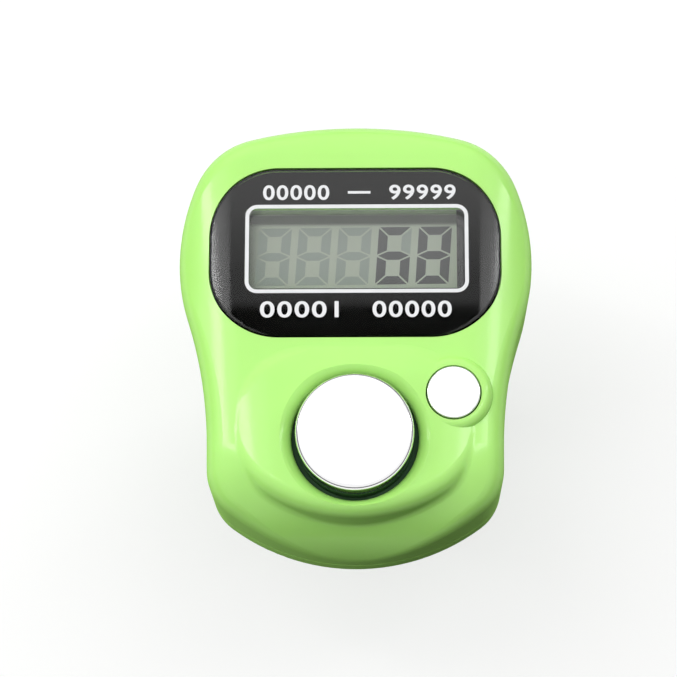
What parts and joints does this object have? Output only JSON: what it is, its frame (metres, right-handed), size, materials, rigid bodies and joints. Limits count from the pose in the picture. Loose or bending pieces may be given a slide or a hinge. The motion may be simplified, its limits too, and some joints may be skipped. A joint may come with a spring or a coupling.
{
  "type": "finger tally counter",
  "caption": "Finger-worn digital tally counter: crowned case, dark lens over a segment display, domed count button on an oval boss, small reset button and an adjustable finger band.",
  "frame": {"origin": "centre of the finger loop, on the middle plane of the band", "axes": "+X right of the display, +Y from the buttons towards the display's top and along the finger, +Z out of the face"},
  "size_m": [0.0298, 0.0365, 0.0388],
  "materials": {
    "shell_plastic": "glossy lime-green moulding",
    "band_rubber": "soft lime-green silicone strap",
    "lens_clear": "polished clear acrylic",
    "mask_black": "glossy black print behind the lens",
    "chrome_plate": "bright chrome plating",
    "display_glass": "clear display glass",
    "display_film": "grey-green display film",
    "board_green": "solder-masked circuit board",
    "black_resin": "matt black resin",
    "carbon_rubber": "conductive carbon rubber",
    "dome_silicone": "translucent grey silicone",
    "chip_ceramic": "fired ceramic",
    "cell_steel": "nickel-plated steel",
    "contact_brass": "nickel-bright sheet brass",
    "screw_steel": "zinc-plated steel"
  },
  "bodies": {
    "case": {"front_shell": "shell_plastic", "rear_cover": "shell_plastic", "finger_band": "band_rubber", "display_lens": "lens_clear", "lens_mask": "mask_black", "lcd_front_polariser": "display_film", "lcd_front_glass": "display_glass", "lcd_rear_glass": "display_glass", "lcd_reflector": "display_film", "zebra_strip": "carbon_rubber", "circuit_board": "board_green", "chip_blob": "black_resin", "chip_capacitors": "chip_ceramic", "chip_resistors": "black_resin", "button_cell": "cell_steel", "positive_contact": "contact_brass", "negative_contact": "contact_brass", "count_dome": "dome_silicone", "reset_dome": "dome_silicone", "case_screws": "screw_steel", "board_screws": "screw_steel"},
    "count": {"count_button": "chrome_plate", "count_pill": "carbon_rubber"},
    "reset": {"reset_button": "chrome_plate", "reset_pill": "carbon_rubber"}
  },
  "joints": [
    {"name": "count_press", "type": "slide", "parent": "case", "child": "count", "axis": [0, 0, -1], "range_m": [0, 0.0008], "stiffness_N_per_m": 800, "springref_m": -0.0005, "deforming": ["count_dome"]},
    {"name": "reset_press", "type": "slide", "parent": "case", "child": "reset", "axis": [0, 0, -1], "range_m": [0, 0.0006], "stiffness_N_per_m": 800, "springref_m": -0.0005, "deforming": ["reset_dome"]}
  ]
}
